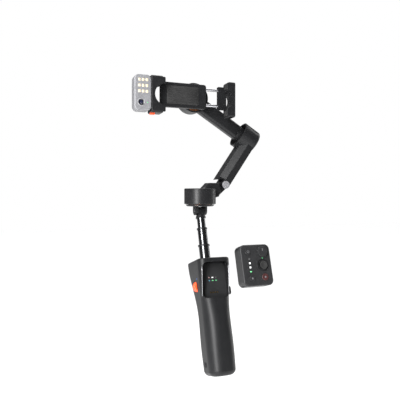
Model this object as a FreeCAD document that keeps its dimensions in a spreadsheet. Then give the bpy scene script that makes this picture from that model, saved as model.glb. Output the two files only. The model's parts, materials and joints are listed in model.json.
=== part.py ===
"""Three-axis phone gimbal with a telescopic rod, a folding arm, a phone clamp,
a clip-on tracking light and a detachable remote.

Millimetres, +Z up. The origin is the mouth of the tripod thread under the
handle. The handle leans back about X, and the head above the neck is upright.
"""

import FreeCAD, Part
import Sketcher
import math
import os

from FreeCAD import Placement, Rotation, Vector

doc = FreeCAD.newDocument("phone_gimbal")

# ---------------------------------------------------------------- dimensions

DIMENSIONS = {
    # handle, in its own frame: x to the right, y to the back, z up the grip
    "handleLean": 17.0,
    "handleLength": 119.5,
    "gripWidth": 30.4,
    "gripDepth": 38.0,
    "wall": 2.0,
    "capSeam": 5.0,
    "fitGap": 0.35,
    "neckHeight": 178.0,
    "rodOffset": 7.0,
    "wheelX": -13.1,
    # the remote and its dock
    "remoteWidth": 29.0,
    "remoteHeight": 36.2,
    "remoteDepth": 12.4,
    "dockFloor": -8.0,
    "dockBottom": 78.2,
    "remotePull": 92.0,
    # tripod thread, 1/4 inch with 20 threads to the inch
    "threadRadius": 3.175,
    "threadDepth": 9.0,
    # telescopic rod
    "guideRadius": 6.7,
    "outerTubeRadius": 5.9,
    "middleTubeRadius": 5.2,
    "innerTubeRadius": 4.5,
    "tubeWall": 0.6,
    "tubeLength": 94.0,
    "outerTubeTop": 138.1,
    "middleTubeTop": 157.3,
    "innerTubeTop": 170.0,
    "ringHeight": 1.6,
    "ringLip": 0.7,
    # neck and pan motor, about the pan axis
    "neckDrop": 19.0,
    "panRadius": 18.0,
    "panTop": 6.3,
    "panBottom": -11.7,
    "panWall": 1.8,
    "shaftRadius": 2.5,
    "runningGap": 0.05,
    # fold hinge and slanted arm
    "foldX": 34.0,
    "foldY": 14.0,
    "foldZ": 10.8,
    "armSlope": 55.5,
    "armHalfDepth": 10.0,
    "armLow": -4.7,
    "armHigh": 10.0,
    "armEnd": 68.0,
    "knuckleRadius": 4.7,
    "knuckleHalf": 5.6,
    # tilt and roll motors, which meet at the roll centre
    "rollX": -4.0,
    "rollY": 18.0,
    "rollZ": 111.0,
    "tiltSlope": 32.0,
    "tiltRadius": 16.0,
    "tiltInner": 72.0,
    "tiltOuter": 94.0,
    "rollRadius": 17.0,
    # phone clamp, about the roll axis
    "phoneWidth": 75.7,
    "phoneDepth": 8.3,
    "phoneShift": -3.75,
    "phoneBack": -1.0,
    "leftJawThick": 14.6,
    "rightJawThick": 9.4,
    "jawHeight": 40.2,
    "jawMiddle": -2.8,
    "scoopRadius": 11.6,
    "clawOver": 1.5,
    "guideRodRadius": 1.6,
    # tracking light
    "trackerWidth": 18.6,
    "trackerDepth": 14.0,
    "trackerHeight": 38.4,
    "trackerLow": -22.1,
}

sheet = doc.addObject("Spreadsheet::Sheet", "dimensions")
for row, (alias, number) in enumerate(DIMENSIONS.items(), start=1):
    sheet.set(f"A{row}", alias)
    sheet.set(f"B{row}", str(number))
    sheet.setAlias(f"B{row}", alias)
doc.recompute()


class Size:
    """A length that knows its value and the sheet expression that gives it."""

    def __init__(self, value, text):
        self.value = value
        self.text = text

    def joined(self, sign, other, swapped=False):
        other = sized(other)
        first, second = (other, self) if swapped else (self, other)
        values = {
            "+": first.value + second.value,
            "-": first.value - second.value,
            "*": first.value * second.value,
        }
        return Size(values[sign], f"({first.text} {sign} {second.text})")

    def __add__(self, other):
        return self.joined("+", other)

    def __radd__(self, other):
        return self.joined("+", other, swapped=True)

    def __sub__(self, other):
        return self.joined("-", other)

    def __rsub__(self, other):
        return self.joined("-", other, swapped=True)

    def __mul__(self, other):
        return self.joined("*", other)

    __rmul__ = __mul__

    def __truediv__(self, number):
        return self.joined("*", 1.0 / number)

    def __neg__(self):
        return self.joined("*", -1.0)

    def __float__(self):
        return float(self.value)


def sized(number):
    """A Size for a plain number, or the Size itself."""
    return number if isinstance(number, Size) else Size(float(number), f"{float(number):.6f}")


class Sheet:
    """The sheet's cells as sizes, one attribute for each alias."""

    def __getattr__(self, alias):
        return Size(float(sheet.get(alias)), f"dimensions.{alias}")


d = Sheet()

# -------------------------------------------------------------------- frames

NO_TURN = Rotation()
lean = Rotation(Vector(1, 0, 0), -float(d.handleLean))
neck_pivot = lean.multVec(Vector(0, float(d.rodOffset), float(d.neckHeight)))
pan_centre = neck_pivot + Vector(0, 0, float(d.neckDrop))
roll_centre = pan_centre + Vector(float(d.rollX), float(d.rollY), float(d.rollZ))
fold_centre = pan_centre + Vector(float(d.foldX), float(d.foldY), float(d.foldZ))

HANDLE = Placement(Vector(), lean)
REMOTE = Placement(lean.multVec(Vector(0, -float(d.remotePull), 0)), lean)
HEAD = Placement(pan_centre, NO_TURN)
ARM = Placement(fold_centre, Rotation(Vector(0, 1, 0), -float(d.armSlope)))
TILT = Placement(roll_centre, Rotation(Vector(0, 1, 0), float(d.tiltSlope)))
CLAMP = Placement(roll_centre, NO_TURN)

# ------------------------------------------------------------------- helpers

TURNS = {
    "z": NO_TURN,
    "x": Rotation(Vector(0, 1, 0), 90),
    "y": Rotation(Vector(1, 0, 0), -90),
}
made_nodes = []


def bind(thing, name, size):
    """Bind one property to the expression of a size."""
    thing.setExpression(name, sized(size).text)


def place(thing, at, turn=NO_TURN):
    """Turn a piece and bind its position."""
    thing.Placement = Placement(Vector(*[float(c) for c in at]), turn)
    for axis, size in zip("xyz", at):
        bind(thing, f"Placement.Base.{axis}", size)


def box(low, high):
    """A box between two corners."""
    thing = doc.addObject("Part::Box", "block")
    for name, start, end in zip(("Length", "Width", "Height"), low, high):
        bind(thing, name, end - start)
    place(thing, low)
    return thing


def rod(radius, length, at, along="z"):
    """A cylinder whose axis leaves the point at along x, y or z."""
    thing = doc.addObject("Part::Cylinder", "rod")
    bind(thing, "Radius", radius)
    bind(thing, "Height", length)
    place(thing, at, TURNS[along])
    return thing


def cone(radius, end_radius, length, at, along="z"):
    """A cone or a tapered cylinder whose axis leaves the point at along x, y or z."""
    thing = doc.addObject("Part::Cone", "cone")
    bind(thing, "Radius1", radius)
    bind(thing, "Radius2", end_radius)
    bind(thing, "Height", length)
    place(thing, at, TURNS[along])
    return thing


def cut(base, *tools):
    """The base with each tool taken out of it."""
    for tool in tools:
        thing = doc.addObject("Part::Cut", "cut")
        thing.Base = base
        thing.Tool = tool
        base = thing
    return base


def fuse(*pieces):
    """The pieces joined into one solid."""
    thing = doc.addObject("Part::MultiFuse", "fuse")
    thing.Shapes = list(pieces)
    thing.Refine = True
    return thing


def common(first, second):
    """What two pieces share."""
    thing = doc.addObject("Part::MultiCommon", "common")
    thing.Shapes = [first, second]
    return thing


def tube(radius, bore, length, at, along="z"):
    """A cylinder with a bore right through it."""
    return cut(rod(radius, length, at, along), rod(bore, length, at, along))


def runs_along(edge, axis):
    """Whether an edge is straight and runs along the axis, 0, 1 or 2."""
    if edge.Curve.TypeId != "Part::GeomLine":
        return False
    return abs(abs(edge.tangentAt(edge.FirstParameter)[axis]) - 1) < 1e-6


def rounded(base, radius, wanted):
    """The base with a fillet on each edge that wanted accepts."""
    doc.recompute()
    edges = base.Shape.Edges
    chosen = [i for i, edge in enumerate(edges, start=1) if wanted(edge)]
    thing = doc.addObject("Part::Fillet", "fillet")
    thing.Base = base
    thing.Edges = [(i, float(radius), float(radius)) for i in chosen]
    return thing


def rounded_box(low, high, radius, axis):
    """A box with its four edges along one axis rounded."""
    return rounded(box(low, high), radius, lambda edge: runs_along(edge, axis))


def flat_across(edge, axis):
    """Whether an edge lies in a plane square to the axis."""
    box_of = edge.BoundBox
    return (box_of.XLength, box_of.YLength, box_of.ZLength)[axis] < 1e-6


def soft_box(low, high, radius, axis, rim):
    """A box with rounded edges along one axis and softened rims across it."""
    base = rounded_box(low, high, radius, axis)
    return rounded(base, rim, lambda edge: flat_across(edge, axis))


def outline_body(plane, points):
    """A PartDesign body with one closed sketch of straight lines, each corner bound to the sheet."""
    body = doc.addObject("PartDesign::Body", "body")
    support = [f for f in body.Origin.OriginFeatures if f.Role == plane][0]
    sketch = body.newObject("Sketcher::SketchObject", "outline")
    sketch.AttachmentSupport = (support, [""])
    sketch.MapMode = "FlatFace"
    corners = [Vector(float(u), float(v), 0) for u, v in points]
    count = len(corners)
    for i in range(count):
        sketch.addGeometry(Part.LineSegment(corners[i], corners[(i + 1) % count]), False)
    for i in range(count):
        sketch.addConstraint(Sketcher.Constraint("Coincident", i, 2, (i + 1) % count, 1))
    for i, point in enumerate(points):
        for kind, size in zip(("DistanceX", "DistanceY"), point):
            if abs(float(size)) < 1e-9:
                axis = -2 if kind == "DistanceX" else -1
                sketch.addConstraint(Sketcher.Constraint("PointOnObject", i, 1, axis))
                continue
            index = sketch.addConstraint(Sketcher.Constraint(kind, -1, 1, i, 1, float(size)))
            if isinstance(size, Size):
                sketch.setExpression(f"Constraints[{index}]", size.text)
    return body, sketch


def prism(plane, points, start, end):
    """A straight pad of an outline between two distances along the plane's normal."""
    body, sketch = outline_body(plane, points)
    sketch.AttachmentOffset = Placement(Vector(0, 0, float(start)), NO_TURN)
    bind(sketch, "AttachmentOffset.Base.z", start)
    pad = body.newObject("PartDesign::Pad", "pad")
    pad.Profile = sketch
    bind(pad, "Length", sized(end) - start)
    return body


def turned(points):
    """A full revolution about z of an outline in the x-z plane."""
    body, sketch = outline_body("XZ_Plane", points)
    turn = body.newObject("PartDesign::Revolution", "turn")
    turn.Profile = sketch
    turn.ReferenceAxis = (sketch, ["V_Axis"])
    turn.Angle = 360
    return body


def node(name, frame, *pieces):
    """One named sub-part: its pieces, set in one of the frames."""
    thing = doc.addObject("Part::Compound", name)
    thing.Label = name
    thing.Links = list(pieces)
    thing.Placement = frame
    made_nodes.append(thing)
    return thing


def shaped(name, shape):
    """A piece whose shape comes from Part's own functions."""
    thing = doc.addObject("Part::Feature", name)
    thing.Shape = shape
    return thing


# -------------------------------------------------------------- handle shell


def section(width, front, back, corner, height):
    """A rounded rectangle at one height, as a closed wire."""
    half = width / 2
    bend = corner * (1 - math.sqrt(0.5))
    corners = [(half, front), (half, back), (-half, back), (-half, front)]
    inward = [(-1, 1), (-1, -1), (1, -1), (1, 1)]
    starts = [(-corner, 0), (0, -corner), (corner, 0), (0, corner)]
    ends = [(0, corner), (-corner, 0), (0, -corner), (corner, 0)]
    edges = []
    first = None
    last = None
    for (x, y), (ix, iy), start, end in zip(corners, inward, starts, ends):
        begin = Vector(x + start[0], y + start[1], height)
        middle = Vector(x + ix * bend, y + iy * bend, height)
        finish = Vector(x + end[0], y + end[1], height)
        if last is not None:
            edges.append(Part.LineSegment(last, begin).toShape())
        edges.append(Part.Arc(begin, middle, finish).toShape())
        first = first or begin
        last = finish
    edges.append(Part.LineSegment(last, first).toShape())
    return Part.Wire(edges)


def grip_form(inset):
    """The grip's outside, or its inside when inset by the wall."""
    wide = float(d.gripWidth)
    deep = float(d.gripDepth) / 2
    top = float(d.handleLength)
    # height, width, front, back, corner radius
    stations = [
        (0.0, wide - 1.4, 1.4 - deep, deep - 1.4, 12.2),
        (0.17 * top, wide - 0.2, 0.4 - deep, deep - 0.6, 12.8),
        (0.34 * top, wide, -deep, deep - 0.8, 13.2),
        (0.5 * top, wide - 0.2, 0.5 - deep, deep - 1.9, 12.8),
        (0.66 * top, wide + 1.2, 0.9 - deep, deep - 1.6, 10.6),
        (0.83 * top, wide + 4.2, -0.8 - deep, deep + 0.9, 8.4),
        (top, wide + 5.2, -2.6 - deep, deep + 2.6, 7.2),
    ]
    wires = []
    for height, width, front, back, corner in stations:
        wires.append(
            section(width - 2 * inset, front + inset, back - inset, corner - inset, height)
        )
    return Part.makeLoft(wires, True, False)


def dock_space(low_y, high_y, margin):
    """A rounded block that follows the remote's outline, wider by the margin."""
    half = d.remoteWidth / 2 + margin
    low = (-half, low_y, d.dockBottom - margin)
    high = (half, high_y, d.dockBottom + d.remoteHeight + margin)
    return rounded_box(low, high, 5.0, 1)


FAR = sized(40)
WHEEL_Z = 92.0
WHEEL_RADIUS = 6.2
BUTTON_LOW = (11.6, -5.2, 80.5)
BUTTON_HIGH = (18.4, 1.2, 89.5)
PADDLE_LOW = (17.6, -9.6, 80.5)
PADDLE_HIGH = (19.5, 1.2, 89.5)
SIDE_LAMP = (-17.5, -6.0, 99.5)
PANEL_THICK = 0.8
COLLAR_RADIUS = 8.0
CONTACT_XS = (-3.75, -1.25, 1.25, 3.75)
DOCK_LIGHT_XS = (-3.9, 0.0, 3.9)
DOCK_LIGHT_ZS = (96.6, 99.8)


def handle_shells():
    """The grip's front and rear shells and the bottom cap, cut from one form."""
    top = float(d.handleLength)
    inside_floor = float(d.capSeam + d.wall)
    outside = grip_form(0)
    bottom_rim = [e for e in outside.Edges if abs(e.BoundBox.ZMax) < 0.01]
    outside = outside.makeFillet(6.2, bottom_rim)
    top_rim = [e for e in outside.Edges if e.BoundBox.ZMin > top - 0.01]
    outside = outside.makeFillet(1.6, top_rim)
    room = Part.makeBox(60, 60, top - inside_floor - float(d.wall), Vector(-30, -30, inside_floor))
    form = shaped("grip_form", outside)
    hollow = shaped("grip_hollow", grip_form(float(d.wall)).common(room))

    above_seam = box((-FAR, -FAR, d.capSeam), (FAR, FAR, FAR * 4))
    dock_back = common(dock_space(d.dockFloor - 1, d.dockFloor + d.wall, d.fitGap + 1), form)
    bracket = box((-15.2, 6.0, 88.0), (-10.4, 8.0, 96.0))
    shell = common(fuse(cut(form, hollow), dock_back, bracket), above_seam)
    shell = cut(
        shell,
        dock_space(-FAR, d.dockFloor, d.fitGap),
        dock_space(d.dockFloor - 0.5, d.dockFloor + PANEL_THICK, d.fitGap),
        rod(d.guideRadius, FAR, (0, d.rodOffset, d.handleLength - FAR / 2)),
        rod(COLLAR_RADIUS, FAR, (0, d.rodOffset, d.handleLength - 2.5)),
        rod(WHEEL_RADIUS + 0.5, 7.4, (d.wheelX, -2.4, WHEEL_Z), "y"),
        rod(1.0, 13.0, (d.wheelX, -5.0, WHEEL_Z), "y"),
        rounded_box((8.0, -5.4, 80.3), (FAR, 1.4, 89.7), 3.2, 0),
        rounded_box((-FAR, -3.0, 9.0), (-10.0, 3.0, 14.5), 1.5, 0),
        rounded_box((-4.7, 12.8, 18.3), (4.7, FAR, 21.7), 1.5, 1),
        rod(0.8, 8.0, (-FAR / 2, *SIDE_LAMP[1:]), "x"),
        rod(6.5, 10.0, (0, 0, 1.0)),
    )
    node("front_shell", HANDLE, common(shell, box((-FAR, -FAR, 0), (FAR, 0, FAR * 4))))
    node("rear_shell", HANDLE, common(shell, box((-FAR, 0, 0), (FAR, FAR, FAR * 4))))
    below_seam = box((-FAR, -FAR, -1), (FAR, FAR, d.capSeam))
    node("bottom_cap", HANDLE, cut(common(form, below_seam), rod(5.0, 20.0, (0, 0, -5))))


def handle_fittings():
    """What is set into the handle: thread, dock, cell, board, socket, rod guide and lamps."""
    flange = rod(6.5, d.threadDepth + 1.5 - d.capSeam, (0, 0, d.capSeam))
    insert = fuse(rod(5.0, d.capSeam, (0, 0, 0)), flange)
    node("tripod_insert", HANDLE, cut(insert, rod(d.threadRadius, d.threadDepth, (0, 0, 0))))

    floor = d.dockFloor
    pins = []
    holes = []
    for x in CONTACT_XS:
        pins.append(rod(0.75, 0.5 + PANEL_THICK, (x, floor - 0.5, 84.0), "y"))
        holes.append(rod(0.75, 3.0, (x, floor - 1.0, 84.0), "y"))
    lights = []
    for column in DOCK_LIGHT_XS:
        for height in DOCK_LIGHT_ZS:
            low = (column - 0.8, floor, height - 0.5)
            high = (column + 0.8, floor + 0.5, height + 0.5)
            lights.append(box(low, high))
            holes.append(box(low, high))
    panel = dock_space(floor, floor + PANEL_THICK, d.fitGap)
    node("dock_panel", HANDLE, cut(panel, *holes))
    node("dock_contacts", HANDLE, *pins)
    side_lamp = rod(0.8, 3.0, SIDE_LAMP, "x")
    node("indicator_lights", HANDLE, *lights, side_lamp)

    node("battery_cell", HANDLE, rod(7.4, 40.0, (0, -8.5, 11.0)))
    node("main_board", HANDLE, box((-5.0, 14.2, 21.7), (5.0, 15.0, 50.0)))
    socket = rounded_box((-4.7, 12.8, 18.3), (4.7, 18.4, 21.7), 1.5, 1)
    throat = rounded_box((-4.2, 14.5, 18.8), (4.2, 20.0, 21.2), 1.1, 1)
    node("usb_socket", HANDLE, cut(socket, throat))
    guide_length = d.handleLength - 2.5 - 25.0
    guide_foot = (0, d.rodOffset, 25.0)
    guide_bore = d.outerTubeRadius + d.runningGap
    node("rod_guide", HANDLE, tube(d.guideRadius, guide_bore, guide_length, guide_foot))
    collar_foot = (0, d.rodOffset, d.handleLength - 2.5)
    node("top_collar", HANDLE, tube(COLLAR_RADIUS, guide_bore, 3.1, collar_foot))
    node("strap_bar", HANDLE, rod(0.8, 5.5, (-14.4, 0, 9.0)))
    node("wheel_axle", HANDLE, rod(1.0, 14.0, (d.wheelX, -6.0, WHEEL_Z), "y"))


def handle_controls():
    """The zoom wheel on the left and the button on the right."""
    wheel = rounded(
        rod(WHEEL_RADIUS, 6.6, (d.wheelX, -2.0, WHEEL_Z), "y"), 1.0, lambda edge: flat_across(edge, 1)
    )
    bore = rod(1.0 + d.runningGap, 20.0, (d.wheelX, -9.0, WHEEL_Z), "y")
    grooves = []
    for step in range(18):
        angle = math.radians(step * 20)
        x = d.wheelX + (WHEEL_RADIUS + 0.3) * math.cos(angle)
        z = WHEEL_Z + (WHEEL_RADIUS + 0.3) * math.sin(angle)
        grooves.append(rod(0.6, 20.0, (x, -9.0, z), "y"))
    node("zoom_wheel", HANDLE, cut(wheel, bore, bundle(grooves)))
    cap = rounded_box(BUTTON_LOW, BUTTON_HIGH, 3.0, 0)
    paddle = rounded_box(PADDLE_LOW, PADDLE_HIGH, 2.6, 0)
    paddle = rounded(paddle, 1.0, lambda edge: edge.BoundBox.XMin > PADDLE_HIGH[0] - 0.01)
    flange = box((11.2, -5.7, 79.6), (12.4, 2.2, 90.4))
    node("side_button", HANDLE, fuse(cap, paddle, flange))


def bundle(pieces):
    """Separate pieces held as one."""
    thing = doc.addObject("Part::Compound", "bundle")
    thing.Links = list(pieces)
    return thing


# ------------------------------------------------------------ telescopic rod


def rod_stage(name, radius, bore, top, wiper):
    """One tube of the rod with its wiper ring, or with none."""
    foot = (0, d.rodOffset, top - d.tubeLength)
    if wiper is None:
        node(name, HANDLE, tube(radius, bore, d.tubeLength, foot))
        return
    node(name, HANDLE, tube(radius, bore, d.tubeLength - d.ringHeight, foot))
    seat = (0, d.rodOffset, top - d.ringHeight)
    node(name + "_ring", HANDLE, tube(radius + d.ringLip, wiper, d.ringHeight, seat))


def telescopic_rod():
    """Three nested tubes and the knuckle at their top."""
    stages = [
        ("rod_outer", d.outerTubeRadius, d.outerTubeTop, d.middleTubeRadius),
        ("rod_middle", d.middleTubeRadius, d.middleTubeTop, d.innerTubeRadius),
        ("rod_inner", d.innerTubeRadius, d.innerTubeTop + 1.5, None),
    ]
    for name, radius, top, next_radius in stages:
        wiper = None if next_radius is None else next_radius + d.runningGap
        rod_stage(name, radius, radius - d.tubeWall, top, wiper)

    axis_y = d.rodOffset
    skirt = cone(5.9, 5.1, 3.0, (0, axis_y, d.neckHeight - 9.0))
    blade = box((-3.4, axis_y - 4.3, d.neckHeight - 6.0), (3.4, axis_y + 4.3, d.neckHeight))
    head = rod(4.3, 6.8, (-3.4, axis_y, d.neckHeight), "x")
    socket = rod(d.innerTubeRadius, 2.5, (0, axis_y, d.neckHeight - 9.0))
    pin_way = rod(1.5 + d.runningGap, 20.0, (-10, axis_y, d.neckHeight), "x")
    node("neck_knuckle", HANDLE, cut(fuse(skirt, blade, head), socket, pin_way))


# ------------------------------------------------------- neck and pan motor


def slab(points, low_y, high_y):
    """An outline in the x-z plane, as thick as from low_y to high_y."""
    return prism("XZ_Plane", points, -sized(high_y), -sized(low_y))


def pan_base():
    """The neck fork with its base plate, the pin, the stator and the shaft."""
    plate_top = d.panBottom - 0.5
    plate = turned([
        (0, plate_top - 1.8),
        (14.8, plate_top - 1.8),
        (16.0, plate_top - 0.7),
        (16.0, plate_top),
        (0, plate_top),
    ])
    pieces = [plate, rod(5.0, 9.0, (0, 0, plate_top))]
    for left in (-6.75, 3.75):
        pieces.append(box((left, -5.25, -d.neckDrop), (left + 3.0, 5.25, plate_top - 1.0)))
        pieces.append(rod(5.25, 3.0, (left, 0, -d.neckDrop), "x"))
    pin_way = rod(1.5, 20.0, (-10, 0, -d.neckDrop), "x")
    shaft_way = rod(d.shaftRadius, 20.0, (0, 0, plate_top))
    node("neck_fork", HEAD, cut(fuse(*pieces), pin_way, shaft_way))
    node("neck_pin", HEAD, rod(1.5, 14.4, (-7.2, 0, -d.neckDrop), "x"))
    node("pan_stator", HEAD, tube(13.6, 5.0, 8.8, (0, 0, plate_top + 0.2)))
    node("pan_shaft", HEAD, rod(d.shaftRadius, 15.2, (0, 0, plate_top)))


def pan_arm():
    """The pan housing with the arm base that carries the fold hinge."""
    inner = d.panRadius - d.panWall
    drum = rod(d.panRadius, d.panTop - d.panBottom, (0, 0, d.panBottom))
    drum = rounded(drum, 1.0, lambda edge: flat_across(edge, 2))
    low_y = d.foldY - d.armHalfDepth
    high_y = d.foldY + d.armHalfDepth
    shoulder = slab(
        [(8, -5), (18, -5), (25.5, -3.2), (28.6, 2.5), (26.5, 13), (15, 13), (8, 6)],
        low_y,
        high_y,
    )
    shoulder = rounded(shoulder, 1.6, lambda edge: flat_across(edge, 1))
    ear_low = d.foldY - d.knuckleHalf
    ear_high = d.foldY + d.knuckleHalf
    ear = slab([(20, -4), (25.5, -3.2), (37.2, 7.4), (34, 15.5), (26, 12.5)], ear_low, ear_high)
    lobe = rod(d.knuckleRadius, d.knuckleHalf * 2, (d.foldX, ear_low, d.foldZ), "y")
    body = cut(
        fuse(drum, shoulder, ear, lobe),
        rod(inner, d.panTop - 3.0 - d.panBottom + 4.0, (0, 0, d.panBottom - 4.0)),
        rod(inner, 20.0, (0, 0, d.panTop - 1.0)),
        rod(1.7 + d.runningGap, 60.0, (d.foldX, -20, d.foldZ), "y"),
    )
    boss = tube(7.5, 5.5, d.panTop - 3.0, (0, 0, 0))
    node("pan_housing", HEAD, fuse(body, boss))
    cover = rounded(
        rod(inner, 1.0, (0, 0, d.panTop - 1.0)), 0.4, lambda edge: edge.BoundBox.ZMin > 6.2
    )
    node("pan_cover", HEAD, cover)
    node("pan_bearing", HEAD, tube(5.5, d.shaftRadius + d.runningGap, 3.0, (0, 0, 0)))


# ---------------------------------------------------- folding arm, tilt motor


def motor_shell(radius, start, end, along_axis, wall, round_end):
    """A motor's cup along x or y, open at its start, with a bush boss inside its end."""
    def point(distance):
        return (distance, 0, 0) if along_axis == "x" else (0, distance, 0)

    index = "xyz".index(along_axis)
    can = rod(radius, end - start, point(start), along_axis)
    limit = float(end) - 0.01
    can = rounded(
        can,
        round_end,
        lambda edge: flat_across(edge, index)
        and (edge.BoundBox.XMin, edge.BoundBox.YMin)[index] > limit,
    )
    cavity = rod(radius - wall, end - start - 2.5, point(start), along_axis)
    boss = rod(6.0, 4.0, point(end - 6.5), along_axis)
    bush_way = rod(d.shaftRadius + d.runningGap, 6.0, point(end - 7.0), along_axis)
    return cut(fuse(cut(can, cavity), boss), bush_way)


def motor_rotor(neck_radius, neck_start, start, end, along_axis):
    """A rotor drum with its neck and its shaft."""
    def point(distance):
        return (distance, 0, 0) if along_axis == "x" else (0, distance, 0)

    return fuse(
        rod(neck_radius, start - neck_start, point(neck_start), along_axis),
        rod(11.2, end - start, point(start), along_axis),
        rod(d.shaftRadius, 5.3, point(end), along_axis),
    )


def fold_arm():
    """The slanted arm, its rear cover, the fold pin and the tilt motor's fixed half."""
    half = d.armHalfDepth
    band = prism(
        "YZ_Plane",
        [(-half, d.armLow), (half, d.armLow), (half, d.armHigh), (-4, d.armHigh), (-half, 3.5)],
        5.2,
        d.armEnd,
    )
    heel = slab([(0.8, d.armHigh), (5.3, d.armHigh), (5.3, 4.4)], -4, half)
    pieces = [band, heel]
    for low, high in ((-half, -d.knuckleHalf - 0.3), (d.knuckleHalf + 0.3, half)):
        radius = d.knuckleRadius
        pieces.append(slab([(0, -radius), (5.3, -radius), (5.3, radius), (0, radius)], low, high))
        pieces.append(rod(radius, high - low, (0, low, 0), "y"))
    shell = cut(
        fuse(*pieces),
        box((8.5, -8, -2.7), (45, 8.4, 4.3)),
        box((7, 8.4, -3.4), (47, 20, 5.6)),
        rod(1.7, 60.0, (0, -30, 0), "y"),
        motor_space(),
    )
    node("arm_shell", ARM, shell)
    node("arm_cover", ARM, rounded_box((7, 8.4, -3.4), (47, 9.8, 5.6), 1.0, 1))
    caps = [
        rounded(rod(4.5, 1.6, (0, y, 0), "y"), 0.5, lambda edge, side=side: at_y(edge, side))
        for y, side in ((-half - 1.6, -half - 1.6), (half, half + 1.6))
    ]
    node("fold_pin", ARM, fuse(rod(1.7, half * 2, (0, -half, 0), "y"), *caps))

    housing = motor_shell(d.tiltRadius, d.tiltInner, d.tiltOuter, "x", d.panWall, 2.5)
    node("tilt_housing", TILT, housing)
    inner = d.tiltRadius - d.panWall
    node("tilt_stator", TILT, tube(inner, 11.6, 8.5, (d.tiltInner + 7.0, 0, 0), "x"))


def at_y(edge, place_y):
    """Whether an edge lies at one distance along y."""
    return flat_across(edge, 1) and abs(edge.BoundBox.YMin - float(place_y)) < 0.01


def motor_space():
    """The tilt motor's room, turned into the slanted arm's frame."""
    solid = Part.makeCylinder(
        float(d.tiltRadius), 60, Vector(float(d.tiltInner) - 30, 0, 0), Vector(1, 0, 0)
    )
    solid.Placement = ARM.inverse().multiply(TILT).multiply(solid.Placement)
    return shaped("motor_space", solid)


def tilt_arm():
    """The arm behind the phone, with the tilt rotor and the roll motor's fixed half."""
    web = rounded_box((6, -6, -8.8), (d.tiltInner - 2.0, 6, 8.8), 4.0, 0)
    neck = rod(9.0, 7.5, (d.tiltInner - 4.0, 0, 0), "x")
    web = cut(fuse(web, neck), rod(d.rollRadius, 40, (0, -20, 0), "y"))
    node("tilt_arm", TILT, web)
    drum_start = d.tiltInner + 7.5
    rotor = motor_rotor(9.0, d.tiltInner + 3.5, drum_start, drum_start + 8.0, "x")
    node("tilt_rotor", TILT, rotor)
    node("roll_housing", TILT, motor_shell(d.rollRadius, -10.0, 8.0, "y", d.panWall, 2.5))
    inner = d.rollRadius - d.panWall
    node("roll_stator", TILT, tube(inner, 11.6, 8.0, (0, -8.5, 0), "y"))


# --------------------------------------------------------------- phone clamp

PAD = 1.0
CLAW_GAP = 0.5
CLAW_INSET = 1.3
PLATE_FRONT = -17.5
PLATE_BACK = -12.5
JAW_FRONT = -29.5
ROD_HEIGHTS = (-9.0, 9.0)
ROD_Y = -15.0


def jaw(inner, outer, low_z, high_z, scoop_x):
    """A jaw block with two claws over the phone's edge and a round scoop between them."""
    side = 1 if float(outer) > float(inner) else -1
    back = inner + side * PAD
    low_x, high_x = sorted((back, outer), key=float)
    block = soft_box((low_x, JAW_FRONT, low_z), (high_x, PLATE_BACK, high_z), 2.4, 0, 1.2)
    tip = inner - side * d.clawOver
    tip_low, tip_high = sorted((tip, back + side * 2.0), key=float)
    claw_back = d.phoneBack - d.rollY - d.phoneDepth - CLAW_GAP
    claw_low = (tip_low, JAW_FRONT, low_z + CLAW_INSET)
    claw_high = (tip_high, claw_back, high_z - CLAW_INSET)
    claws = soft_box(claw_low, claw_high, 1.3, 1, 0.5)
    scoop = rod(d.scoopRadius, 40.0, (scoop_x, -40, (low_z + high_z) / 2), "y")
    return cut(fuse(block, claws), scoop)


def pads(inner, side):
    """Two rubber pads, one above and one below the scoop."""
    low_x, high_x = sorted((inner, inner + side * PAD), key=float)
    pieces = []
    for start in (d.jawMiddle + 12.2, d.jawMiddle - 18.2):
        pieces.append(box((low_x, -27.0, start), (high_x, -18.2, start + 6.0)))
    return pieces


def phone_clamp():
    """The clamp body, the fixed left jaw and the right jaw on its two guide rods."""
    left = d.phoneShift - d.phoneWidth / 2
    right = d.phoneShift + d.phoneWidth / 2
    half = d.jawHeight / 2

    plate = soft_box((left - PAD, PLATE_FRONT, -14), (12, PLATE_BACK, 14), 3.0, 1, 0.8)
    ways = [
        rod(d.guideRodRadius + d.runningGap, 60.0, (-38, ROD_Y, z), "x") for z in ROD_HEIGHTS
    ]
    node("clamp_body", CLAMP, cut(plate, *ways))
    rotor = motor_rotor(10.0, sized(PLATE_BACK), sized(-8.5), sized(-0.8), "y")
    node("roll_shaft", CLAMP, rotor)

    left_outer = left - d.leftJawThick
    low_z = d.jawMiddle - half
    high_z = d.jawMiddle + half
    fixed = jaw(left, left_outer, low_z, high_z, left + 1.2)
    tab_low = (left_outer + 0.6, -24.0, low_z - 1.3)
    tab_high = (left_outer + 5.6, -18.0, low_z + 3.0)
    tab_way = box(
        (tab_low[0] - 0.2, tab_low[1] - 0.2, low_z - 2.0),
        (tab_high[0] + 0.2, tab_high[1] + 0.2, tab_high[2] + 1.3),
    )
    node("left_jaw", CLAMP, cut(fixed, tab_way))
    node("left_jaw_pads", CLAMP, *pads(left, -1))
    node("release_tab", CLAMP, rounded_box(tab_low, tab_high, 0.8, 2))

    sliding = jaw(right, right + d.rightJawThick, low_z, high_z, right - 5.2)
    foot = box((right - 7.0, PLATE_FRONT, -13), (right + 3.0, PLATE_BACK, 13))
    rod_ways = [rod(d.guideRodRadius, 60.0, (-22, ROD_Y, z), "x") for z in ROD_HEIGHTS]
    node("right_jaw", CLAMP, cut(fuse(sliding, foot), *rod_ways))
    rods = [
        rod(d.guideRodRadius, right + 3.0 + 20.0, (-20, ROD_Y, z), "x") for z in ROD_HEIGHTS
    ]
    node("guide_rods", CLAMP, *rods)
    node("right_jaw_pads", CLAMP, *pads(right, 1))


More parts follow.
